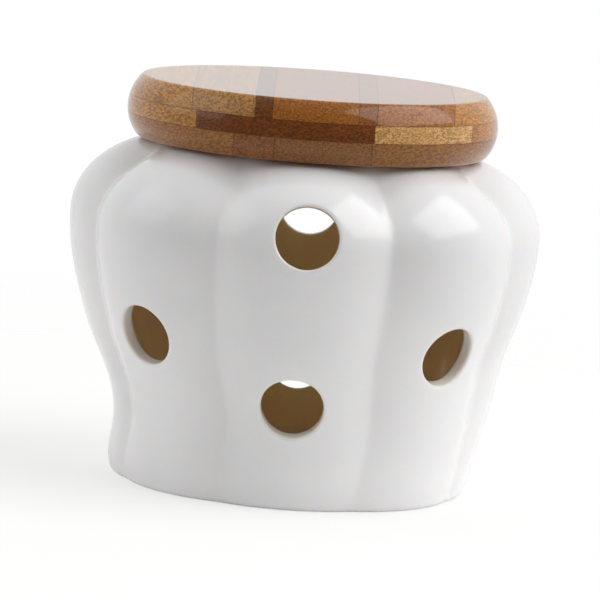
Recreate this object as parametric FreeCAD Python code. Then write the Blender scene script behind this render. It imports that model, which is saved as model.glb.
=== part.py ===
import FreeCAD, Part
import math
import os

# Garlic keeper: an eight-lobed ceramic pot with vent holes, and a thick
# three-ply bamboo lid with a plug and a seal ring under it.
# Millimetres. +Z is up, the table is z = 0, the front is toward -Y.

# Driving sizes of the pot
pot_width = 135.0
pot_height = 97.5
base_width = 101.6
belly_height = 75.0
wall = 4.0
floor_thickness = 5.0
lobe_count = 8
front_angle = -90.0

# The lower body stands almost straight up to the waist, then swells to the belly
waist_overhang = 1.7
waist_height = 8.0
waist_lean = 2.3
waist_lean_height = 45.0

# The creases between the lobes deepen from the base to the shoulder
base_groove = 1.2
belly_groove = 3.8
shoulder_groove = 4.7
groove_fade = 8
groove_softness = 0.06
lobe_roundness = 2.2

# The shoulder is a stretch of an ellipse that ends at the flat seat
mouth_width = 82.0
seat_width = 4.0
shoulder_reach = 30.5

# Rounded edges of the glazed body
base_edge_round = 1.5
mouth_edge_round = 1.0
floor_corner_round = 5.0
vent_outer_round = 0.9
vent_inner_round = 0.6
foot_width = 6.0
foot_recess = 1.2

# Vent holes: angles round the pot, and the centre's height, or its drop below the seat
vent_width = 17.6
side_vent_angle = 44.5
front_top_vent_turn = 0.7
back_vent_turn = 1.1
front_top_vent_drop = 18.4
front_low_vent = 29.4
side_vent = 45.2
back_top_vent_drop = 24.6
back_low_vent = 27.0

# Driving sizes of the lid: how far its rim stays inside the belly, and its three plies
lid_setback = 14.4
bottom_ply = 6.8
core_ply = 4.9
top_ply = 5.8
lid_top_inset = 3.9
lid_bottom_inset = 3.1
lid_edge_round = 0.6

# Glue lines between the strips of each ply, as shares of the lid's radius
top_ply_joints = [-0.637, -0.304, -0.213, 0.237, 0.334, 0.744]
core_ply_joints = [-0.609, 0.326, 0.845]
bottom_ply_joints = [-0.405, -0.192, 0.318]

# Plug and seal ring under the lid
plug_depth = 9.0
plug_gap = 1.2
plug_edge_round = 0.8
ring_groove_depth = 2.2
ring_height = 3.6
ring_clearance = 0.3
ring_fit = 0.05

# How finely the lobed surface is sampled, with an even number of points to a lobe
points_per_lobe = 16
body_sections = 8
shoulder_sections = 8

# How close two sizes are when they count as the same
same = 0.01

belly_radius = pot_width / 2
base_radius = base_width / 2
waist_radius = base_radius + waist_overhang
mouth_radius = mouth_width / 2
seat_radius = mouth_radius + seat_width
vent_radius = vent_width / 2
lid_radius = belly_radius - lid_setback
lid_bottom = pot_height
core_bottom = lid_bottom + bottom_ply
core_top = core_bottom + core_ply
lid_top = core_top + top_ply

# The shoulder ellipse: its centre radius, its rise, and the angle of its end
shoulder_centre = belly_radius - shoulder_reach
shoulder_end = math.acos((seat_radius - shoulder_centre) / shoulder_reach)
shoulder_rise = (pot_height - belly_height) / math.sin(shoulder_end)


def half_wave(share):
    """Rise smoothly from 0 to 1 as share goes from 0 to 1."""
    return (1 - math.cos(math.pi * share)) / 2


def valley(angle):
    """Depth share at an angle in degrees: 0 on a lobe's crest, 1 in a groove."""
    pitch = 360.0 / lobe_count
    from_crest = abs((angle - front_angle + pitch / 2) % pitch - pitch / 2)
    to_groove = 1 - from_crest / (pitch / 2)
    soft = math.hypot(to_groove, groove_softness) - groove_softness
    full = math.hypot(1, groove_softness) - groove_softness
    return (1 - soft / full) ** lobe_roundness


def body_radius(height):
    """Crest radius below the belly."""
    if height < waist_height:
        tuck = (waist_height - height) / waist_height
        return waist_radius - (waist_radius - base_radius) * tuck ** 2
    share = (height - waist_height) / (belly_height - waist_height)
    return waist_radius + (belly_radius - waist_radius) * half_wave(share)


def lean(height):
    """Sideways shift of the waist, none at the base and above the waist."""
    if height <= 0 or height >= waist_lean_height:
        return 0.0
    return waist_lean * math.sin(math.pi * height / waist_lean_height) ** 2


def body_station(height):
    """Crest radius, height, outward direction and groove depth below the belly."""
    deepening = math.sin(math.pi / 2 * height / belly_height)
    groove = base_groove + (belly_groove - base_groove) * deepening
    return body_radius(height), height, 1.0, 0.0, groove


def shoulder_station(share):
    """The same five values on the shoulder, share 0 at the belly to 1 at the seat."""
    angle = shoulder_end * share
    radius = shoulder_centre + shoulder_reach * math.cos(angle)
    height = belly_height + shoulder_rise * math.sin(angle)
    out = math.cos(angle) / shoulder_reach
    up = math.sin(angle) / shoulder_rise
    size = math.hypot(out, up)
    depth = belly_groove + (shoulder_groove - belly_groove) * math.sin(angle)
    return radius, height, out / size, up / size, depth * (1 - share ** groove_fade)


def ring_angles():
    """Angles round the pot that crowd toward the creases, from one crease round to itself."""
    half = points_per_lobe // 2
    angles = []
    for lobe in range(lobe_count):
        crest = front_angle + 360.0 * lobe / lobe_count
        for step in range(-half, half):
            angles.append(crest + 180.0 / lobe_count * math.sin(math.pi / 2 * step / half))
    return angles + [angles[0] + 360.0]


def ring_wire(station, inset):
    """One closed lobed section, pressed in by inset from the outer skin."""
    radius, height, out, up, groove = station
    angles = ring_angles()
    points = []
    for angle in angles[:-1]:
        depth = inset + groove * valley(angle)
        r = radius - depth * out
        z = height - depth * up
        turn = math.radians(angle)
        x = r * math.cos(turn) + lean(z)
        points.append(FreeCAD.Vector(x, r * math.sin(turn), z))
    curve = Part.BSplineCurve()
    curve.interpolate(Points=points, PeriodicFlag=True, Parameters=angles)
    return Part.Wire(curve.toShape())


def lobed_solid(bottom, inset):
    """The lobed form from a bottom height up to the seat, inset from the outer skin."""
    wires = []
    for step in range(body_sections):
        height = bottom + (belly_height - bottom) * step / body_sections
        wires.append(ring_wire(body_station(height), inset))
    for step in range(shoulder_sections + 1):
        # Sections crowd toward the seat, where the grooves run out quickly
        share = math.sin(math.pi / 2 * step / shoulder_sections)
        wires.append(ring_wire(shoulder_station(share), inset))
    return Part.makeLoft(wires, True, False)


def cylinder(radius, bottom, top):
    """Upright cylinder on the pot's axis."""
    return Part.makeCylinder(radius, top - bottom, FreeCAD.Vector(0, 0, bottom))


def flat_edges(shape, height):
    """Edges that lie wholly at one height."""
    found = []
    for edge in shape.Edges:
        box = edge.BoundBox
        if abs(box.ZMin - height) < same and abs(box.ZMax - height) < same:
            found.append(edge)
    return found


def vent_frame(angle_from_front, height):
    """Centre and outward direction of a vent, square to the crest line there."""
    turn = math.radians(front_angle + angle_from_front)
    if height < belly_height:
        rise = belly_height - waist_height
        share = (height - waist_height) / rise
        slope = (belly_radius - waist_radius) * math.pi / 2 * math.sin(math.pi * share) / rise
        radius = body_radius(height)
        out, up = 1.0, -slope
    else:
        angle = math.asin((height - belly_height) / shoulder_rise)
        radius = shoulder_centre + shoulder_reach * math.cos(angle)
        out = math.cos(angle) / shoulder_reach
        up = math.sin(angle) / shoulder_rise
    size = math.hypot(out, up)
    centre = FreeCAD.Vector(radius * math.cos(turn), radius * math.sin(turn), height)
    direction = FreeCAD.Vector(out * math.cos(turn), out * math.sin(turn), up) * (1 / size)
    return centre, direction


def vent_tools():
    """One cylinder per vent hole, long enough to pass through the wall alone."""
    places = [
        (front_top_vent_turn, pot_height - front_top_vent_drop),
        (0, front_low_vent),
        (-side_vent_angle, side_vent),
        (side_vent_angle, side_vent),
        (180 - back_vent_turn, pot_height - back_top_vent_drop),
        (180 - back_vent_turn, back_low_vent),
    ]
    reach = wall * 3
    tools = []
    for angle_from_front, height in places:
        centre, direction = vent_frame(angle_from_front, height)
        start = centre - direction * reach
        tools.append(Part.makeCylinder(vent_radius, reach * 2, start, direction))
    return tools


def vent_edges(shape, outside):
    """Rim edges of the vent holes, on the outer or on the inner skin."""
    found = []
    for face in shape.Faces:
        surface = face.Surface
        if not isinstance(surface, Part.Cylinder) or abs(surface.Radius - vent_radius) > same:
            continue
        middle = face.CenterOfMass
        outward = surface.Axis
        if outward.x * middle.x + outward.y * middle.y < 0:
            outward = outward * -1
        for edge in face.Edges:
            if edge.isSeam(face):
                continue
            is_outer = (edge.CenterOfMass - middle).dot(outward) > 0
            if is_outer == outside:
                found.append(edge)
    return found


def mouth_edges(shape):
    """Both circular edges of the mouth."""
    found = []
    for edge in shape.Edges:
        curve = edge.Curve
        if isinstance(curve, Part.Circle) and abs(curve.Radius - mouth_radius) < same:
            found.append(edge)
    return found


def pot_body():
    """The hollow pot with its mouth, vent holes and foot ring."""
    outer = lobed_solid(0.0, 0.0)
    outer = outer.makeFillet(base_edge_round, flat_edges(outer, 0.0))
    cavity = lobed_solid(floor_thickness, wall)
    cavity = cavity.makeFillet(floor_corner_round, flat_edges(cavity, floor_thickness))
    mouth = cylinder(mouth_radius, belly_height, pot_height + wall)
    recess = cylinder(base_radius - foot_width, -wall, foot_recess)
    recess = recess.makeFillet(foot_recess / 2, flat_edges(recess, foot_recess))
    pot = outer.cut([cavity, mouth, recess] + vent_tools())
    pot = pot.makeFillet(mouth_edge_round, mouth_edges(pot))
    pot = pot.makeFillet(vent_outer_round, vent_edges(pot, True))
    pot = pot.makeFillet(vent_inner_round, vent_edges(pot, False))
    return pot.Solids[0]


def lid_disc():
    """The whole rounded disc that the plies are parts of."""
    start = FreeCAD.Vector(0, 0, lid_bottom)
    low = FreeCAD.Vector(lid_radius - lid_bottom_inset, 0, lid_bottom)
    side = FreeCAD.Vector(lid_radius, 0, (lid_bottom + lid_top) / 2)
    high = FreeCAD.Vector(lid_radius - lid_top_inset, 0, lid_top)
    end = FreeCAD.Vector(0, 0, lid_top)
    outline = Part.Wire([
        Part.makeLine(start, low),
        Part.Arc(low, side, high).toShape(),
        Part.makeLine(high, end),
        Part.makeLine(end, start),
    ])
    disc = Part.Face(outline).revolve(FreeCAD.Vector(0, 0, 0), FreeCAD.Vector(0, 0, 1), 360)
    return disc.makeFillet(lid_edge_round, flat_edges(disc, lid_bottom) + flat_edges(disc, lid_top))


def ply_strips(disc, low, high, joints):
    """Cut one ply out of the disc and part it into strips that run front to back."""
    reach = lid_radius * 1.1
    lines = [-reach] + [share * lid_radius for share in joints] + [reach]
    strips = []
    for left, right in zip(lines[:-1], lines[1:]):
        slab = Part.makeBox(right - left, 2 * reach, high - low, FreeCAD.Vector(left, -reach, low))
        strips.append(disc.common(slab))
    return strips


def ring_levels():
    """Bottom and top of the seal ring's groove, half way down the plug."""
    middle = lid_bottom - plug_depth / 2
    return middle - ring_height / 2, middle + ring_height / 2


def lid_plug():
    radius = mouth_radius - plug_gap
    bottom = lid_bottom - plug_depth
    plug = cylinder(radius, bottom, lid_bottom)
    plug = plug.makeFillet(plug_edge_round, flat_edges(plug, bottom))
    low, high = ring_levels()
    groove = cylinder(radius + wall, low, high).cut(cylinder(radius - ring_groove_depth, low, high))
    return plug.cut(groove)


def seal_ring():
    """Silicone ring: flat inside, rounded outside, just clear of the pot's mouth."""
    low, high = ring_levels()
    low = low + ring_fit
    high = high - ring_fit
    inner = mouth_radius - plug_gap - ring_groove_depth + ring_fit
    outer = mouth_radius - ring_clearance
    bulge = (high - low) / 2
    shoulder = outer - min(bulge, (outer - inner) / 2)
    points = [
        FreeCAD.Vector(inner, 0, low),
        FreeCAD.Vector(shoulder, 0, low),
        FreeCAD.Vector(outer, 0, (low + high) / 2),
        FreeCAD.Vector(shoulder, 0, high),
        FreeCAD.Vector(inner, 0, high),
    ]
    outline = Part.Wire([
        Part.makeLine(points[0], points[1]),
        Part.Arc(points[1], points[2], points[3]).toShape(),
        Part.makeLine(points[3], points[4]),
        Part.makeLine(points[4], points[0]),
    ])
    return Part.Face(outline).revolve(FreeCAD.Vector(0, 0, 0), FreeCAD.Vector(0, 0, 1), 360)


def lid_strips():
    """All the bamboo strips by name, numbered from left to right in each ply."""
    disc = lid_disc()
    plies = [
        ("lid_bottom_strip", lid_bottom, core_bottom, bottom_ply_joints),
        ("lid_core_strip", core_bottom, core_top, core_ply_joints),
        ("lid_top_strip", core_top, lid_top, top_ply_joints),
    ]
    strips = {}
    for name, low, high, joints in plies:
        for index, strip in enumerate(ply_strips(disc, low, high, joints)):
            strips["%s_%d" % (name, index + 1)] = strip
    return strips


os.makedirs("parts", exist_ok=True)
nodes = {"pot_body": pot_body(), "lid_plug": lid_plug(), "seal_ring": seal_ring()}
nodes.update(lid_strips())
for node, shape in nodes.items():
    shape.exportStep("parts/%s.step" % node)
    box = shape.BoundBox
    print(node, shape.isValid(), len(shape.Solids), "%.1f mm3" % shape.Volume,
          "z %.2f to %.2f" % (box.ZMin, box.ZMax))
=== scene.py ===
import bmesh
import bpy
import math
import numpy as np
from mathutils import Matrix, Vector


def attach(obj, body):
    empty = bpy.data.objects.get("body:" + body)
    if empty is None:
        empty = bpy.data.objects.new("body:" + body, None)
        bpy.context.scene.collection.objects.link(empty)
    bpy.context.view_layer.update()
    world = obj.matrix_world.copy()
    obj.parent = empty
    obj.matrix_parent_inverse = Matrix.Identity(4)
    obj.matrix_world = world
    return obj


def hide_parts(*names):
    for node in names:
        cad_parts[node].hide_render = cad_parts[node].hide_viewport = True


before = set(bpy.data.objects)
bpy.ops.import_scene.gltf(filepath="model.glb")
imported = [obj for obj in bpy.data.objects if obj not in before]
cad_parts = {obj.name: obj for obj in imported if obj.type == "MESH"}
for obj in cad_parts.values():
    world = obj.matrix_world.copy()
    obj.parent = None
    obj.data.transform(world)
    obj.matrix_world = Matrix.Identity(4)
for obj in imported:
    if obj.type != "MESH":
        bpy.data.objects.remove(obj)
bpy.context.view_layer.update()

# The looks of the garlic keeper: glazed pot, bamboo lid, plug and seal ring.
# Sizes are in millimetres, as in the part's source, and become metres where a mesh is made.
MM = 0.001

# Pot
pot_width = 135.0
pot_height = 97.5
base_width = 101.6
belly_height = 75.0
wall = 4.0
floor_thickness = 5.0
lobe_count = 8
front_angle = -90.0
waist_overhang = 1.7
waist_height = 8.0
waist_lean = 2.3
waist_lean_height = 45.0
base_groove = 1.2
belly_groove = 3.8
shoulder_groove = 4.7
groove_fade = 8
groove_softness = 0.06
lobe_roundness = 2.2
mouth_width = 82.0
seat_width = 4.0
shoulder_reach = 30.5
base_edge_round = 1.5
mouth_edge_round = 1.0
floor_corner_round = 5.0
foot_width = 6.0
foot_recess = 1.2
foot_edge_round = 0.4

# Vent holes: angle from the front and height of each centre
vent_width = 17.6
vent_outer_round = 0.9
vent_inner_round = 0.6
vents = [(0.7, 79.1), (0, 29.4), (-44.5, 45.2), (44.5, 45.2), (178.9, 72.9), (178.9, 27.0)]

# Lid
lid_setback = 14.4
bottom_ply = 6.8
core_ply = 4.9
top_ply = 5.8
lid_top_inset = 3.9
lid_bottom_inset = 3.1
lid_edge_round = 0.6
glue_chamfer = 0.05
top_ply_joints = [-0.637, -0.304, -0.213, 0.237, 0.334, 0.744]
core_ply_joints = [-0.609, 0.326, 0.845]
bottom_ply_joints = [-0.405, -0.192, 0.318]

# Plug and seal ring
plug_depth = 9.0
plug_gap = 1.2
plug_edge_round = 0.8
ring_groove_depth = 2.2
ring_height = 3.6
ring_clearance = 0.3
ring_fit = 0.05

# Mesh density: columns round the pot and how far they crowd toward the grooves,
# rows up its skin, and steps round a rounded edge
columns_per_lobe = 32
column_crowding = 0.6
belly_row = 30
shoulder_rows = 14
round_steps = 3
vent_half_columns = 7
vent_half_rows = 5
lid_segments = 256

belly_radius = pot_width / 2
base_radius = base_width / 2
waist_radius = base_radius + waist_overhang
mouth_radius = mouth_width / 2
seat_radius = mouth_radius + seat_width
vent_radius = vent_width / 2
lid_radius = belly_radius - lid_setback
core_bottom = pot_height + bottom_ply
core_top = core_bottom + core_ply
lid_top = core_top + top_ply
shoulder_centre = belly_radius - shoulder_reach
shoulder_end = math.acos((seat_radius - shoulder_centre) / shoulder_reach)
shoulder_rise = (pot_height - belly_height) / math.sin(shoulder_end)
columns = lobe_count * columns_per_lobe
row_pitch = belly_height / belly_row
top_row = belly_row + shoulder_rows


# Outline of the pot

def half_wave(share):
    """Rise smoothly from 0 to 1 as share goes from 0 to 1."""
    return (1 - np.cos(math.pi * share)) / 2


def valley(angle):
    """Depth share at angles in degrees: 0 on a lobe's crest, 1 in a groove."""
    pitch = 360.0 / lobe_count
    from_crest = abs((angle - front_angle + pitch / 2) % pitch - pitch / 2)
    to_groove = 1 - from_crest / (pitch / 2)
    soft = np.hypot(to_groove, groove_softness) - groove_softness
    full = math.hypot(1, groove_softness) - groove_softness
    return np.maximum(1 - soft / full, 0) ** lobe_roundness


def body_radius(height):
    """Crest radius below the belly."""
    tuck = np.maximum(waist_height - height, 0) / waist_height
    share = np.maximum(height - waist_height, 0) / (belly_height - waist_height)
    swell = (belly_radius - waist_radius) * half_wave(share)
    return waist_radius - (waist_radius - base_radius) * tuck ** 2 + swell


def lean(height):
    """Sideways shift of the waist, none at the base and above the waist."""
    share = np.clip(height / waist_lean_height, 0, 1)
    return waist_lean * np.sin(math.pi * share) ** 2


def column_angle(column):
    """Angles of columns of the pot's grid, in degrees. Column 0 is at the front."""
    lobe = np.round(column / columns_per_lobe)
    share = 2 * (column / columns_per_lobe - lobe)
    crowded = (1 - column_crowding) * share + column_crowding * np.sin(math.pi / 2 * share)
    return front_angle + 360.0 / lobe_count * (lobe + crowded / 2)


def skin(angle, row, inset):
    """Points of the pot's skin at angles in degrees and rows, pressed in by inset."""
    height = row_pitch * np.minimum(row, belly_row)
    share = np.clip((row - belly_row) / shoulder_rows, 0, 1)
    turn = shoulder_end * share
    on_shoulder = share > 0
    radius = np.where(on_shoulder, shoulder_centre + shoulder_reach * np.cos(turn), body_radius(height))
    height = np.where(on_shoulder, belly_height + shoulder_rise * np.sin(turn), height)
    out = np.cos(turn) / shoulder_reach
    up = np.sin(turn) / shoulder_rise
    size = np.hypot(out, up)
    deepening = np.sin(math.pi / 2 * np.minimum(height / belly_height, 1))
    body_depth = base_groove + (belly_groove - base_groove) * deepening
    shoulder_depth = belly_groove + (shoulder_groove - belly_groove) * np.sin(turn)
    groove = np.where(on_shoulder, shoulder_depth, body_depth) * (1 - share ** groove_fade)
    depth = inset + groove * valley(angle)
    r = radius - depth * out / size
    z = height - depth * up / size
    a = np.radians(angle)
    return np.stack([r * np.cos(a) + lean(z), r * np.sin(a), z], -1)


def quarter_round(start, corner, end):
    """Point rows from start to end round a corner, both ends included."""
    rows = []
    for step in range(round_steps + 1):
        turn = math.pi / 2 * step / round_steps
        from_start = (start - corner) * (1 - math.sin(turn))
        to_end = (end - corner) * (1 - math.cos(turn))
        rows.append(corner + from_start + to_end)
    return rows


# Mesh building

class Shell:
    """Points in closed rings and the faces between them."""

    def __init__(self):
        self.points = []
        self.marks = []
        self.faces = []
        self.count = 0

    def ring(self, points, mark):
        """Add one ring of points that share a mark. Returns their indices."""
        points = np.asarray(points, float).reshape(-1, 3)
        self.points.append(points)
        self.marks.append(np.tile(mark, (len(points), 1)))
        self.count += len(points)
        return np.arange(self.count - len(points), self.count)

    def bridge(self, low, high, keep=None):
        """Join two rings with quads, leaving out those where keep is false."""
        for i in range(len(low)):
            if keep is None or keep[i]:
                j = (i + 1) % len(low)
                self.faces.append((low[i], low[j], high[j], high[i]))

    def fan(self, ring, centre):
        """Close a ring with triangles to one point."""
        for i in range(len(ring)):
            self.faces.append((ring[i], ring[(i + 1) % len(ring)], centre))


def make_object(name, shell):
    """A smooth-shaded mesh object from a shell, and the marks of its points."""
    points = np.concatenate(shell.points)
    used = np.unique(np.concatenate([np.array(face) for face in shell.faces]))
    number = np.full(len(points), -1)
    number[used] = np.arange(len(used))
    faces = [tuple(int(number[i]) for i in face) for face in shell.faces]
    mesh = bpy.data.meshes.new(name)
    mesh.from_pydata((points[used] * MM).tolist(), [], faces)
    mesh.update()
    tidy = bmesh.new()
    tidy.from_mesh(mesh)
    bmesh.ops.recalc_face_normals(tidy, faces=tidy.faces)
    tidy.to_mesh(mesh)
    tidy.free()
    mesh.shade_smooth()
    piece = bpy.data.objects.new(name, mesh)
    bpy.context.scene.collection.objects.link(piece)
    return piece, points[used], np.concatenate(shell.marks)[used]


def circle(radius, height):
    """One ring of points round the pot's axis, in the pot's columns."""
    turn = np.radians(column_angle(np.arange(columns)))
    return np.stack([radius * np.cos(turn), radius * np.sin(turn), np.full(columns, height)], -1)


# The pot. Marks are (inside glaze, cut edge of a vent, bare clay).
OUTSIDE = (0.0, 0.0, 0.0)
INSIDE = (1.0, 0.0, 0.0)
CUT = (0.3, 1.0, 0.0)
CLAY = (0.0, 0.0, 1.0)


def vent_axis(angle_from_front, height):
    """Centre, outward direction and the two sideways directions of a vent."""
    turn = math.radians(front_angle + angle_from_front)
    if height < belly_height:
        step = 0.5
        slope = (body_radius(height + step) - body_radius(height - step)) / (2 * step)
        radius, out, up = body_radius(height), 1.0, -slope
    else:
        angle = math.asin((height - belly_height) / shoulder_rise)
        radius = shoulder_centre + shoulder_reach * math.cos(angle)
        out = math.cos(angle) / shoulder_reach
        up = math.sin(angle) / shoulder_rise
    centre = np.array([radius * math.cos(turn), radius * math.sin(turn), height])
    outward = np.array([out * math.cos(turn), out * math.sin(turn), up])
    outward /= np.linalg.norm(outward)
    side = np.array([-math.sin(turn), math.cos(turn), 0.0])
    return centre, outward, side, np.cross(outward, side)


def vent_column(angle_from_front):
    """Column of the skin's grid nearest to an angle from the front."""
    every = np.arange(-columns // 2, columns // 2 + 1)
    away = abs(column_angle(every) - front_angle - angle_from_front)
    return int(every[np.argmin(away)])


def vent_row(height):
    """Row of the skin's grid nearest to a height."""
    if height < belly_height:
        return round(height / row_pitch)
    share = math.asin((height - belly_height) / shoulder_rise) / shoulder_end
    return belly_row + round(share * shoulder_rows)


def block_loop(column, row):
    """Columns and rows round the block of the grid that a vent takes up."""
    c, r = vent_half_columns, vent_half_rows
    loop = [(i, -r) for i in range(-c, c)]
    loop += [(c, j) for j in range(-r, r)]
    loop += [(i, r) for i in range(c, -c, -1)]
    loop += [(-c, j) for j in range(r, -r, -1)]
    return np.array(loop) + (column, row)


def across(points, axis):
    """Distances of points from a vent's centre along its two sideways directions."""
    centre, _, side, rise = axis
    return np.stack([(points - centre) @ side, (points - centre) @ rise], -1)


def vent_circle(loop, axis, radius, inset):
    """Angles and rows where the skin meets a cylinder round a vent's axis."""
    angle = column_angle(loop[:, 0])
    row = loop[:, 1].astype(float)
    away = across(skin(angle, row, inset), axis)
    goal = away / np.linalg.norm(away, axis=1)[:, None] * radius
    nudge = 0.01
    for _ in range(12):
        here = across(skin(angle, row, inset), axis)
        by_angle = (across(skin(angle + nudge, row, inset), axis) - here) / nudge
        by_row = (across(skin(angle, row + nudge, inset), axis) - here) / nudge
        jacobian = np.stack([by_angle, by_row], -1)
        step = np.linalg.solve(jacobian, (goal - here)[..., None])[..., 0]
        angle = angle + step[:, 0]
        row = row + step[:, 1]
    return angle, row


def vent_side(shell, grid, loop, axis, inset, edge_round, mark):
    """Patch of skin from a block's edge to a vent's rim. Returns the rings from edge to bore."""
    outer_angle = column_angle(loop[:, 0])
    rim_angle, rim_row = vent_circle(loop, axis, vent_radius + edge_round, inset)
    bore_angle, bore_row = vent_circle(loop, axis, vent_radius, inset)
    rings = [grid[loop[:, 1], loop[:, 0] % columns]]
    for share in (0.4, 0.8):
        angle = outer_angle + (rim_angle - outer_angle) * share
        row = loop[:, 1] + (rim_row - loop[:, 1]) * share
        rings.append(shell.ring(skin(angle, row, inset), mark))
    corner = skin(bore_angle, bore_row, inset)
    inward = axis[1] * edge_round * (1 if inset else -1)
    rounded = quarter_round(skin(rim_angle, rim_row, inset), corner, corner + inward)
    for step, points in enumerate(rounded):
        share = step / round_steps
        rings.append(shell.ring(points, np.array(mark) * (1 - share) + np.array(CUT) * share))
    return rings, rounded[-1]


def cut_vent(shell, outer_grid, inner_grid, angle_from_front, height):
    """Rims and bore of one vent hole, joined to both skins."""
    axis = vent_axis(angle_from_front, height)
    loop = block_loop(vent_column(angle_from_front), vent_row(height))
    outer, outer_end = vent_side(shell, outer_grid, loop, axis, 0.0, vent_outer_round, OUTSIDE)
    inner, inner_end = vent_side(shell, inner_grid, loop, axis, wall, vent_inner_round, INSIDE)
    bore = [shell.ring(outer_end + (inner_end - outer_end) * share, CUT) for share in (0.33, 0.67)]
    rings = outer + bore + inner[::-1]
    for low, high in zip(rings[:-1], rings[1:]):
        shell.bridge(low, high)


def kept_quads(row):
    """Which quads above a row of the grid are skin, not part of a vent's block."""
    keep = np.ones(columns, bool)
    for angle_from_front, height in vents:
        column = vent_column(angle_from_front)
        middle = vent_row(height)
        if middle - vent_half_rows <= row < middle + vent_half_rows:
            keep[np.arange(column - vent_half_columns, column + vent_half_columns) % columns] = False
    return keep


def skin_grid(shell, first_row, inset, mark):
    """All whole rows of one skin, as a table of point indices by row and column."""
    angle = column_angle(np.arange(columns))
    grid = np.full((top_row + 1, columns), -1)
    for row in range(first_row, top_row + 1):
        grid[row] = shell.ring(skin(angle, np.full(columns, float(row)), inset), mark)
    for row in range(first_row, top_row):
        shell.bridge(grid[row], grid[row + 1], kept_quads(row))
    return grid


def joined(shell, rows, mark, first=None, last=None):
    """Add point rows as rings and bridge them in order, between two rings already there."""
    rings = [] if first is None else [first]
    rings += [shell.ring(points, mark) for points in rows]
    if last is not None:
        rings.append(last)
    for low, high in zip(rings[:-1], rings[1:]):
        shell.bridge(low, high)
    return rings


def pot_under(shell, outer_first):
    """Underside: recessed middle, bare foot ring and the rounded base edge."""
    angle = column_angle(np.arange(columns))
    recess_radius = base_radius - foot_width
    soft = foot_recess / 2
    middle = shell.ring([(0, 0, foot_recess)], OUTSIDE)[0]
    rows = [circle(recess_radius * share, foot_recess) for share in (0.25, 0.5, 0.75)]
    rows += quarter_round(
        circle(recess_radius - soft, foot_recess),
        circle(recess_radius, foot_recess),
        circle(recess_radius, foot_recess - soft))
    recess = joined(shell, rows, OUTSIDE)
    shell.fan(recess[0], middle)
    base = skin(angle, np.zeros(columns), 0.0)
    edge_start = base * (1 - base_edge_round / base_radius, 1 - base_edge_round / base_radius, 1)
    foot_rows = quarter_round(
        circle(recess_radius, foot_edge_round),
        circle(recess_radius, 0.0),
        circle(recess_radius + foot_edge_round, 0.0))
    foot = joined(shell, foot_rows + [edge_start], CLAY, first=recess[-1])
    edge_end = skin(angle, np.full(columns, base_edge_round / row_pitch), 0.0)
    edge_rows = quarter_round(edge_start, base, edge_end)
    joined(shell, edge_rows[1:], OUTSIDE, first=foot[-1], last=outer_first)


def pot_mouth(shell, outer_last, inner_last):
    """Flat seat and rounded mouth between the two skins."""
    under_height = skin(np.array([front_angle]), np.array([float(top_row)]), wall)[0, 2]
    soft = mouth_edge_round
    seat_rows = [circle(seat_radius - seat_width / 3, pot_height)]
    seat_rows += quarter_round(
        circle(mouth_radius + soft, pot_height),
        circle(mouth_radius, pot_height),
        circle(mouth_radius, pot_height - soft))
    under_rows = quarter_round(
        circle(mouth_radius, under_height + soft),
        circle(mouth_radius, under_height),
        circle(mouth_radius + soft, under_height))
    seat = joined(shell, seat_rows, OUTSIDE, first=outer_last)
    joined(shell, under_rows, INSIDE, first=seat[-1], last=inner_last)


def pot_floor(shell, inner_first, first_row):
    """Rounded inside corner and flat floor."""
    angle = column_angle(np.arange(columns))
    corner = skin(angle, np.full(columns, floor_thickness / row_pitch), wall)
    start = skin(angle, np.full(columns, float(first_row)), wall)
    shrink = 1 - floor_corner_round / (base_radius - wall)
    rows = quarter_round(start, corner, corner * (shrink, shrink, 1))[1:]
    rows += [rows[-1] * (share, share, 1) for share in (0.9, 0.6, 0.3)]
    rings = joined(shell, rows, INSIDE, first=inner_first)
    shell.fan(rings[-1], shell.ring([(0, 0, floor_thickness)], INSIDE)[0])


def build_pot():
    """The whole glazed pot as one closed mesh with its marks."""
    shell = Shell()
    inner_first_row = round((floor_thickness + floor_corner_round) / row_pitch)
    outer = skin_grid(shell, 1, 0.0, OUTSIDE)
    inner = skin_grid(shell, inner_first_row, wall, INSIDE)
    for angle_from_front, height in vents:
        cut_vent(shell, outer, inner, angle_from_front, height)
    pot_under(shell, outer[1])
    pot_mouth(shell, outer[top_row], inner[top_row])
    pot_floor(shell, inner[inner_first_row], inner_first_row)
    pot, points, marks = make_object("glazed_pot", shell)
    pot_marks = marks_with_valleys(points, marks)
    for name, values in pot_marks.items():
        layer = pot.data.attributes.new(name, "FLOAT", "POINT")
        layer.data.foreach_set("value", values.astype(np.float32))
    smooth = pot.modifiers.new("smooth", "SUBSURF")
    smooth.levels = 1
    smooth.render_levels = 1
    return pot


def marks_with_valleys(points, marks):
    """Point layers for the glaze: inside, cut edge, bare clay, and depth in a groove."""
    angle = np.degrees(np.arctan2(points[:, 1], points[:, 0]))
    return {
        "inside": marks[:, 0],
        "cut_edge": marks[:, 1],
        "bare_clay": marks[:, 2],
        "groove": valley(angle),
    }


# Lid, plug and ring

def revolved(profile, closed):
    """A solid of revolution from radius and height pairs, capped where it isn't closed."""
    solid = bmesh.new()
    rings = []
    for radius, height in profile:
        ring = []
        for step in range(lid_segments):
            turn = 2 * math.pi * step / lid_segments
            x = radius * math.cos(turn) * MM
            y = radius * math.sin(turn) * MM
            ring.append(solid.verts.new((x, y, height * MM)))
        rings.append(ring)
    pairs = list(zip(rings[:-1], rings[1:]))
    if closed:
        pairs.append((rings[-1], rings[0]))
    else:
        solid.faces.new(rings[0][::-1])
        solid.faces.new(rings[-1])
    for low, high in pairs:
        for i in range(lid_segments):
            j = (i + 1) % lid_segments
            solid.faces.new((low[i], low[j], high[j], high[i]))
    bmesh.ops.recalc_face_normals(solid, faces=solid.faces)
    return solid


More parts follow.
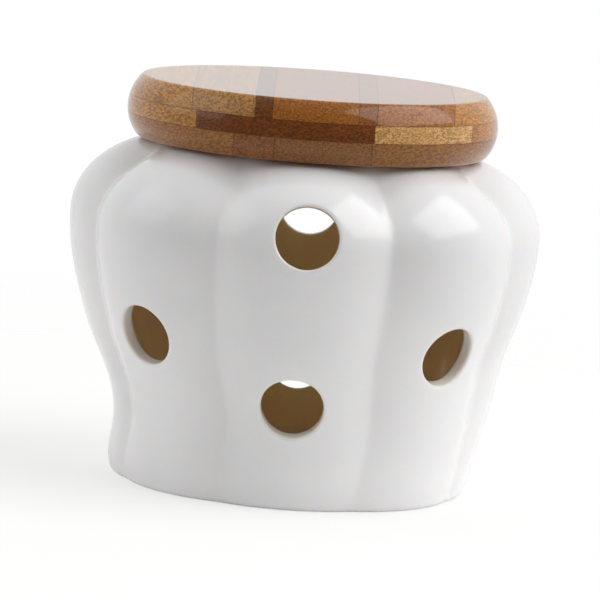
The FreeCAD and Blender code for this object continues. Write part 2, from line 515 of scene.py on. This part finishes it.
def rounded_corner(before, corner, after, size, steps):
    """Points that round one corner of a profile."""
    before, corner, after = (np.array(p, float) for p in (before, corner, after))
    start = corner + (before - corner) / np.linalg.norm(before - corner) * size
    end = corner + (after - corner) / np.linalg.norm(after - corner) * size
    points = []
    for step in range(steps + 1):
        share = step / steps
        points.append(start * (1 - share) ** 2 + corner * 2 * share * (1 - share) + end * share ** 2)
    return points


def side_arc():
    """The lid's bulging side from the bottom edge to the top edge, through its widest ring."""
    low = np.array([lid_radius - lid_bottom_inset, pot_height])
    mid = np.array([lid_radius, (pot_height + lid_top) / 2])
    high = np.array([lid_radius - lid_top_inset, lid_top])
    rows = np.array([mid - low, high - low])
    centre = np.linalg.solve(2 * rows, (mid @ mid - low @ low, high @ high - low @ low))
    radius = np.linalg.norm(low - centre)
    first = math.atan2(low[1] - centre[1], low[0] - centre[0])
    last = math.atan2(high[1] - centre[1], high[0] - centre[0])
    steps = 20
    turns = first + (last - first) * np.arange(steps + 1) / steps
    return [centre + radius * np.array([math.cos(t), math.sin(t)]) for t in turns]


def lid_profile():
    """Half outline of the whole lid with its rounded rims."""
    arc = side_arc()
    hold = 4 * lid_edge_round
    bottom = (arc[0][0] - hold, pot_height)
    top = (arc[-1][0] - hold, lid_top)
    low_round = rounded_corner(bottom, arc[0], arc[2], lid_edge_round, 4)
    high_round = rounded_corner(arc[-3], arc[-1], top, lid_edge_round, 4)
    return [bottom] + low_round + arc[1:-1] + high_round + [top]


def cut_side(solid, position, outward):
    """Cut a solid at a plane, drop what lies outward of it and close the cut."""
    everything = solid.verts[:] + solid.edges[:] + solid.faces[:]
    cut = bmesh.ops.bisect_plane(
        solid, geom=everything, dist=1e-8, plane_co=Vector(position) * MM, plane_no=outward, clear_outer=True)
    edges = [e for e in cut["geom_cut"] if isinstance(e, bmesh.types.BMEdge)]
    bmesh.ops.contextual_create(solid, geom=edges)


def strip_object(name, disc, left, right, low, high):
    """One bamboo strip of a ply, cut out of the whole lid."""
    solid = disc.copy()
    for position, outward in (
            ((left, 0, 0), (-1, 0, 0)), ((right, 0, 0), (1, 0, 0)),
            ((0, 0, low), (0, 0, -1)), ((0, 0, high), (0, 0, 1))):
        if position[2] not in (pot_height, lid_top):
            cut_side(solid, position, outward)
    return solid_object(name, solid, glue_chamfer)


def solid_object(name, solid, chamfer):
    """Turn a bmesh into an object, with its sharp edges eased and kept crisp."""
    sharp = [e for e in solid.edges if len(e.link_faces) == 2 and e.calc_face_angle() > math.radians(50)]
    if chamfer:
        bmesh.ops.bevel(solid, geom=sharp, offset=chamfer * MM, segments=1, profile=0.5, affect="EDGES")
        bmesh.ops.dissolve_degenerate(solid, dist=0.01 * MM, edges=solid.edges)
    for face in solid.faces:
        face.smooth = True
    for edge in solid.edges:
        edge.smooth = len(edge.link_faces) == 2 and edge.calc_face_angle() < math.radians(32)
    mesh = bpy.data.meshes.new(name)
    solid.to_mesh(mesh)
    solid.free()
    piece = bpy.data.objects.new(name, mesh)
    bpy.context.scene.collection.objects.link(piece)
    return piece


def build_strips():
    """Every strip with its limits: name, object, left, right, low and high."""
    disc = revolved(lid_profile(), False)
    reach = lid_radius * 1.1
    plies = [
        ("lid_bottom_strip", pot_height, core_bottom, bottom_ply_joints),
        ("lid_core_strip", core_bottom, core_top, core_ply_joints),
        ("lid_top_strip", core_top, lid_top, top_ply_joints),
    ]
    strips = {}
    for ply, low, high, joints in plies:
        lines = [-reach] + [share * lid_radius for share in joints] + [reach]
        for index, (left, right) in enumerate(zip(lines[:-1], lines[1:])):
            node = "%s_%d" % (ply, index + 1)
            piece = strip_object("bamboo_" + node, disc, left, right, low, high)
            strips[node] = (piece, left, right, low, high)
    disc.free()
    return strips


def ring_levels():
    """Bottom and top of the seal ring's groove, half way down the plug."""
    middle = pot_height - plug_depth / 2
    return middle - ring_height / 2, middle + ring_height / 2


def build_plug():
    """The turned plug with its rounded foot and the groove for the ring."""
    radius = mouth_radius - plug_gap
    bottom = pot_height - plug_depth
    low, high = ring_levels()
    deep = radius - ring_groove_depth
    crisp = 0.25
    profile = [(radius - 4 * plug_edge_round, bottom)]
    profile += rounded_corner((0, bottom), (radius, bottom), (radius, low), plug_edge_round, 5)
    profile += rounded_corner((radius, bottom), (radius, low), (deep, low), crisp, 2)
    profile += rounded_corner((radius, low), (deep, low), (deep, high), crisp, 2)
    profile += rounded_corner((deep, low), (deep, high), (radius, high), crisp, 2)
    profile += rounded_corner((deep, high), (radius, high), (radius, pot_height), crisp, 2)
    profile += [(radius, pot_height)]
    return solid_object("turned_plug", revolved(profile, False), 0)


def build_ring():
    """The silicone ring, with two shallow grooves round the side that grips the mouth."""
    low, high = ring_levels()
    low, high = low + ring_fit, high - ring_fit
    inner = mouth_radius - plug_gap - ring_groove_depth + ring_fit
    outer = mouth_radius - ring_clearance
    bulge = (high - low) / 2
    start = outer - min(bulge, (outer - inner) / 2)
    groove_depth = 0.18
    flat_end = start - 0.3
    steps = 24
    profile = [(inner, low), (flat_end, low)]
    for step in range(steps + 1):
        turn = -math.pi / 2 + math.pi * step / steps
        dip = groove_depth * (1 - math.cos(6 * turn)) / 2
        reach = start + (outer - start) * math.cos(turn) - dip * math.cos(turn)
        profile.append((reach, (low + high) / 2 + bulge * math.sin(turn)))
    profile += [(flat_end, high), (inner, high)]
    return solid_object("silicone_ring", revolved(profile, True), 0)


# Materials

def linear(red, green, blue):
    """Scene colour of an sRGB colour given in 0 to 255."""
    values = []
    for value in (red, green, blue):
        value = value / 255
        values.append(value / 12.92 if value <= 0.04045 else ((value + 0.055) / 1.055) ** 2.4)
    return (values[0], values[1], values[2], 1.0)


class Nodes:
    """A short way to add and link the nodes of one material."""

    def __init__(self, name):
        self.material = bpy.data.materials.new(name)
        self.material.use_nodes = True
        self.tree = self.material.node_tree
        self.tree.nodes.clear()
        self.shader = self.add("ShaderNodeBsdfPrincipled")
        output = self.add("ShaderNodeOutputMaterial")
        self.link(self.shader.outputs["BSDF"], output.inputs["Surface"])

    def add(self, kind, **values):
        node = self.tree.nodes.new(kind)
        for key, value in values.items():
            setattr(node, key, value)
        return node

    def link(self, start, end):
        self.tree.links.new(start, end)

    def set(self, node, name, value):
        """Link value to an input if it is another node's output, or else set it."""
        if isinstance(value, bpy.types.NodeSocket):
            self.link(value, node.inputs[name])
        else:
            node.inputs[name].default_value = value

    def math(self, operation, first, second=0.0):
        node = self.add("ShaderNodeMath", operation=operation)
        self.set(node, 0, first)
        self.set(node, 1, second)
        return node.outputs[0]

    def range(self, value, low, high, to_low=0.0, to_high=1.0):
        """Map a value smoothly from one span to another."""
        node = self.add("ShaderNodeMapRange", interpolation_type="SMOOTHSTEP")
        self.set(node, "Value", value)
        for name, number in (("From Min", low), ("From Max", high), ("To Min", to_low), ("To Max", to_high)):
            self.set(node, name, number)
        return node.outputs["Result"]

    def mix(self, share, first, second):
        """Blend two colours, the second by share."""
        node = self.add("ShaderNodeMix", data_type="RGBA")
        self.set(node, 0, share)
        self.set(node, 6, first)
        self.set(node, 7, second)
        return node.outputs[2]

    def place(self, scale, shift=(0, 0, 0)):
        """Object coordinates, stretched by scale and moved by shift."""
        coordinates = self.add("ShaderNodeTexCoord")
        mapping = self.add("ShaderNodeMapping")
        self.link(coordinates.outputs["Object"], mapping.inputs["Vector"])
        mapping.inputs["Scale"].default_value = scale
        mapping.inputs["Location"].default_value = shift
        return mapping.outputs["Vector"]

    def noise(self, vector, scale, detail=2.0, rough=0.5):
        node = self.add("ShaderNodeTexNoise")
        self.set(node, "Vector", vector)
        self.set(node, "Scale", scale)
        self.set(node, "Detail", detail)
        self.set(node, "Roughness", rough)
        return node.outputs["Fac"]

    def cells(self, vector, scale):
        node = self.add("ShaderNodeTexVoronoi")
        self.set(node, "Vector", vector)
        self.set(node, "Scale", scale)
        return node.outputs["Distance"]

    def layer(self, name):
        """A point layer of the mesh."""
        return self.add("ShaderNodeAttribute", attribute_name=name).outputs["Fac"]

    def bump(self, height, distance, strength, under=None):
        node = self.add("ShaderNodeBump")
        self.set(node, "Height", height)
        self.set(node, "Distance", distance)
        self.set(node, "Strength", strength)
        if under is not None:
            self.link(under, node.inputs["Normal"])
        return node.outputs["Normal"]


def glaze_material():
    """White glaze outside, cream glaze inside, bare clay on the foot ring."""
    n = Nodes("white_glaze")
    place = n.place((1, 1, 1))
    cloud = n.noise(place, 22.0, 3.0)
    fleck = n.noise(place, 900.0, 2.0)
    white = n.mix(n.range(cloud, 0.35, 0.65), linear(236, 236, 237), linear(242, 242, 243))
    # Grooves are painted darker by their depth: partly glaze pooling in them, partly painted shade in the
    # creases
    pooling_and_painted_shade = n.mix(n.math("MULTIPLY", n.layer("groove"), 0.12), white, linear(222, 217, 209))
    cream = n.mix(n.range(cloud, 0.3, 0.7), linear(251, 242, 220), linear(253, 245, 226))
    cream = n.mix(n.math("MULTIPLY", n.range(fleck, 0.58, 0.72), 0.1), cream, linear(224, 204, 170))
    coloured = n.mix(n.layer("inside"), pooling_and_painted_shade, cream)
    cut = n.mix(n.math("MULTIPLY", n.layer("cut_edge"), 0.75), coloured, linear(234, 229, 220))
    grain = n.noise(place, 2500.0, 3.0)
    clay = n.mix(n.range(grain, 0.35, 0.7), linear(214, 204, 188), linear(190, 176, 156))
    bare = n.layer("bare_clay")
    n.set(n.shader, "Base Color", n.mix(bare, cut, clay))
    n.set(n.shader, "Roughness", n.range(bare, 0.0, 1.0, 0.18, 0.75))
    n.shader.inputs["IOR"].default_value = 1.5
    n.shader.inputs["Subsurface Weight"].default_value = 0.5
    n.shader.inputs["Subsurface Radius"].default_value = (1.0, 0.7, 0.45)
    n.shader.inputs["Subsurface Scale"].default_value = 0.003
    n.shader.inputs["Coat Weight"].default_value = 0.12
    n.shader.inputs["Coat Roughness"].default_value = 0.1
    wave = n.bump(n.noise(place, 60.0, 1.5), 0.0004, 0.35)
    pits = n.bump(n.math("MULTIPLY", grain, bare), 0.0002, 0.6, wave)
    n.set(n.shader, "Normal", pits)
    return n.material


def bamboo_material(name, ground, dots, seed, limits):
    """Laminated bamboo. Fibres run along Y: dots where cut across, streaks along the sides.

    limits are the strip's left, right, low and high planes, for its glue lines.
    """
    n = Nodes(name)
    shift = (seed * 7.3, seed * 1.7, seed * 3.1)
    fibre = n.place((750, 30, 1150), shift)
    broad = n.place((1000, 12, 1000), shift)
    bundle = n.cells(fibre, 1.5)
    tone = n.noise(broad, 0.16, 3.0, 0.6)
    streak = n.noise(fibre, 1.7, 3.0, 0.7)
    fine = n.noise(fibre, 3.6, 2.0, 0.6)
    deep = tuple(c * 0.58 for c in ground[:3]) + (1.0,)
    pale = tuple(min(c * 1.42, 1.0) for c in ground[:3]) + (1.0,)
    colour = n.mix(n.range(streak, 0.4, 0.6), deep, pale)
    colour = n.mix(n.math("MULTIPLY", n.range(tone, 0.35, 0.7), 0.35), colour, ground)
    colour = n.mix(n.math("MULTIPLY", n.range(fine, 0.52, 0.7), 0.5), colour, pale)
    spot = n.range(bundle, 0.34, 0.12)
    colour = n.mix(n.math("MULTIPLY", spot, 0.55), colour, dots)
    node_band = n.noise(n.place((160, 6, 160), shift), 1.0, 1.0)
    colour = n.mix(n.math("MULTIPLY", n.range(node_band, 0.68, 0.74), 0.3), colour, deep)
    n.set(n.shader, "Base Color", n.mix(glue_line(n, limits), colour, linear(62, 36, 18)))
    n.set(n.shader, "Roughness", n.range(streak, 0.3, 0.7, 0.3, 0.42))
    n.shader.inputs["IOR"].default_value = 1.48
    n.shader.inputs["Specular IOR Level"].default_value = 0.08
    n.shader.inputs["Coat Weight"].default_value = 1.0
    n.shader.inputs["Coat IOR"].default_value = 1.36
    n.shader.inputs["Coat Roughness"].default_value = 0.1
    relief = n.math("ADD", n.math("MULTIPLY", spot, -0.6), n.math("MULTIPLY", streak, 0.5))
    n.set(n.shader, "Normal", n.bump(relief, 0.00003, 0.6))
    return n.material


def glue_line(n, limits):
    """Share of glue colour close to the planes where a strip meets its neighbours."""
    coordinates = n.add("ShaderNodeTexCoord")
    parts = n.add("ShaderNodeSeparateXYZ")
    n.link(coordinates.outputs["Object"], parts.inputs["Vector"])
    left, right, low, high = limits
    nearest = None
    for axis, plane in (("X", left), ("X", right), ("Z", low), ("Z", high)):
        if axis == "Z" and plane in (pot_height, lid_top):
            continue
        away = n.math("ABSOLUTE", n.math("SUBTRACT", parts.outputs[axis], plane * MM))
        nearest = away if nearest is None else n.math("MINIMUM", nearest, away)
    return n.math("MULTIPLY", n.range(nearest, 0.00025, 0.00006), 0.35)


def silicone_material():
    """Milky silicone with a faint dusty mottle."""
    n = Nodes("milky_silicone")
    place = n.place((1, 1, 1))
    mottle = n.noise(place, 260.0, 3.0)
    milky = n.mix(n.range(mottle, 0.3, 0.7), linear(226, 226, 222), linear(240, 240, 238))
    n.set(n.shader, "Base Color", milky)
    n.set(n.shader, "Roughness", n.range(mottle, 0.3, 0.7, 0.34, 0.5))
    n.shader.inputs["Transmission Weight"].default_value = 0.35
    n.shader.inputs["IOR"].default_value = 1.41
    n.set(n.shader, "Normal", n.bump(n.noise(place, 1500.0, 2.0), 0.00002, 0.5))
    return n.material


# Ground colour and slot of each strip
strip_tones = {
    "lid_top_strip_1": ((175, 120, 53), "bamboo_tan"),
    "lid_top_strip_2": ((166, 116, 60), "bamboo_brown"),
    "lid_top_strip_3": ((110, 59, 18), "bamboo_dark"),
    "lid_top_strip_4": ((150, 90, 30), "bamboo_tan"),
    "lid_top_strip_5": ((136, 80, 34), "bamboo_dark"),
    "lid_top_strip_6": ((155, 94, 34), "bamboo_brown"),
    "lid_top_strip_7": ((178, 122, 58), "bamboo_golden"),
    "lid_core_strip_1": ((175, 120, 52), "bamboo_tan"),
    "lid_core_strip_2": ((114, 61, 20), "bamboo_dark"),
    "lid_core_strip_3": ((196, 150, 92), "bamboo_golden"),
    "lid_core_strip_4": ((172, 112, 52), "bamboo_brown"),
    "lid_bottom_strip_1": ((151, 96, 39), "bamboo_tan"),
    "lid_bottom_strip_2": ((138, 82, 34), "bamboo_brown"),
    "lid_bottom_strip_3": ((140, 88, 38), "bamboo_tan"),
    "lid_bottom_strip_4": ((146, 94, 40), "bamboo_tan"),
}


def dress_lid():
    """Build the strips, the plug and the ring, and set each in place of its CAD node."""
    for seed, (node, (piece, left, right, low, high)) in enumerate(build_strips().items()):
        tone, slot = strip_tones[node]
        dots = linear(*(channel * 0.55 for channel in tone))
        piece.data.materials.append(
            bamboo_material(piece.name, linear(*tone), dots, seed + 1, (left, right, low, high)))
        settle(piece, node, "lid")
    plug = build_plug()
    plug_tone = (176, 126, 78)
    plug_dots = linear(*(channel * 0.6 for channel in plug_tone))
    plug_seed = 20
    # The plug is one piece of bamboo, so its glue lines lie far outside it
    far = lid_radius * 2
    plug.data.materials.append(
        bamboo_material(plug.name, linear(*plug_tone), plug_dots, plug_seed, (-far, far, -far, far)))
    settle(plug, "lid_plug", "lid")
    ring = build_ring()
    ring.data.materials.append(silicone_material())
    settle(ring, "seal_ring", "seal_ring")


def settle(piece, node, body):
    """Put a piece in place of a CAD node, on its body."""
    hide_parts(node)
    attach(piece, body)


def dress_pot():
    pot = build_pot()
    pot.data.materials.append(glaze_material())
    settle(pot, "pot_body", "pot")


# Studio

camera_target = (0.0, 0.0, 55.25)
camera_distance = 1395.5
camera_elevation = 7.72
camera_azimuth = -0.17
camera_roll = 4.23
camera_drop = 2.62
camera_lens = 291.17
sensor_width = 36.0


def direction(azimuth, elevation):
    """Unit vector toward a viewer or light. Azimuth 0 is the front, positive is the object's +X side."""
    a, e = math.radians(azimuth), math.radians(elevation)
    return Vector((math.sin(a) * math.cos(e), -math.cos(a) * math.cos(e), math.sin(e)))


def add_camera():
    data = bpy.data.cameras.new("camera")
    data.sensor_width = sensor_width
    data.lens = camera_lens
    data.clip_start = 0.01
    camera = bpy.data.objects.new("camera", data)
    bpy.context.scene.collection.objects.link(camera)
    back = direction(camera_azimuth, camera_elevation)
    turn = back.to_track_quat("Z", "Y").to_matrix() @ Matrix.Rotation(math.radians(camera_roll), 3, "Z")
    down = turn @ Vector((0, -1, 0))
    camera.matrix_world = turn.to_4x4()
    camera.location = (Vector(camera_target) + back * camera_distance + down * camera_drop) * MM
    bpy.context.scene.camera = camera


def add_softbox(name, azimuth, elevation, distance, width, height, watts):
    data = bpy.data.lights.new(name, "AREA")
    data.shape = "RECTANGLE"
    data.size = width
    data.size_y = height
    data.energy = watts
    lamp = bpy.data.objects.new(name, data)
    bpy.context.scene.collection.objects.link(lamp)
    toward = direction(azimuth, elevation)
    lamp.rotation_euler = toward.to_track_quat("Z", "Y").to_euler()
    lamp.location = Vector(camera_target) * MM + toward * distance


def add_world():
    """Pale room light, dimmer on the viewer's side, over a white backdrop."""
    world = bpy.data.worlds.new("studio")
    bpy.context.scene.world = world
    world.use_nodes = True
    tree = world.node_tree
    tree.nodes.clear()
    add = tree.nodes.new
    coordinates = add("ShaderNodeTexCoord")
    parts = add("ShaderNodeSeparateXYZ")
    tree.links.new(coordinates.outputs["Generated"], parts.inputs["Vector"])
    front = add("ShaderNodeMapRange")
    front.interpolation_type = "SMOOTHSTEP"
    front_light, back_light = 0.22, 1.05
    for name, number in (
            ("From Min", -0.95), ("From Max", 0.35), ("To Min", front_light), ("To Max", back_light)):
        front.inputs[name].default_value = number
    tree.links.new(parts.outputs["Y"], front.inputs["Value"])
    room = add("ShaderNodeBackground")
    tree.links.new(front.outputs["Result"], room.inputs["Strength"])
    backdrop = add("ShaderNodeBackground")
    backdrop.inputs["Strength"].default_value = 1.0
    backdrop.inputs["Color"].default_value = (1, 1, 1, 1)
    seen = add("ShaderNodeLightPath")
    choose = add("ShaderNodeMixShader")
    tree.links.new(seen.outputs["Is Camera Ray"], choose.inputs["Fac"])
    tree.links.new(room.outputs["Background"], choose.inputs[1])
    tree.links.new(backdrop.outputs["Background"], choose.inputs[2])
    output = add("ShaderNodeOutputWorld")
    tree.links.new(choose.outputs["Shader"], output.inputs["Surface"])


def add_floor():
    """Pale round floor that fades out into the white backdrop. The camera sees it thinner than light does."""
    radius, rings, segments = 1.6, 24, 96
    fade_start, fade_end = 0.09, 0.5
    shell = Shell()
    middle = shell.ring([(0, 0, 0)], OUTSIDE)[0]
    before = None
    for step in range(rings):
        turn = 2 * math.pi * np.arange(segments) / segments
        size = radius / MM * ((step + 1) / rings) ** 1.5
        ring = shell.ring(np.stack([size * np.cos(turn), size * np.sin(turn), 0 * turn], -1), OUTSIDE)
        if before is None:
            shell.fan(ring, middle)
        else:
            shell.bridge(before, ring)
        before = ring
    floor = make_object("studio_floor", shell)[0]
    n = Nodes("pale_floor")
    place = n.place((1, 1, 1))
    pale = n.mix(n.noise(place, 3.0), linear(250, 249, 248), linear(253, 252, 251))
    n.set(n.shader, "Base Color", pale)
    n.shader.inputs["Roughness"].default_value = 0.9
    n.shader.inputs["Specular IOR Level"].default_value = 0.1
    length = n.add("ShaderNodeVectorMath", operation="LENGTH")
    n.link(place, length.inputs[0])
    fade = n.range(length.outputs["Value"], fade_start, fade_end, 1.0, 0.0)
    seen = n.add("ShaderNodeLightPath").outputs["Is Camera Ray"]
    solid = n.math("SUBTRACT", 0.9, n.math("MULTIPLY", seen, 0.45))
    n.set(n.shader, "Alpha", n.math("MULTIPLY", fade, solid))
    floor.data.materials.append(n.material)


dress_pot()
dress_lid()
add_floor()
add_camera()
add_world()
add_softbox("window_right", 75, 46, 1.2, 1.2, 0.95, 9.4)
add_softbox("window_left", -80, 30, 1.3, 1.1, 1.0, 3.0)
bpy.context.scene.view_settings.view_transform = "Standard"
bpy.context.scene.cycles.max_bounces = 20
bpy.context.scene.cycles.diffuse_bounces = 20
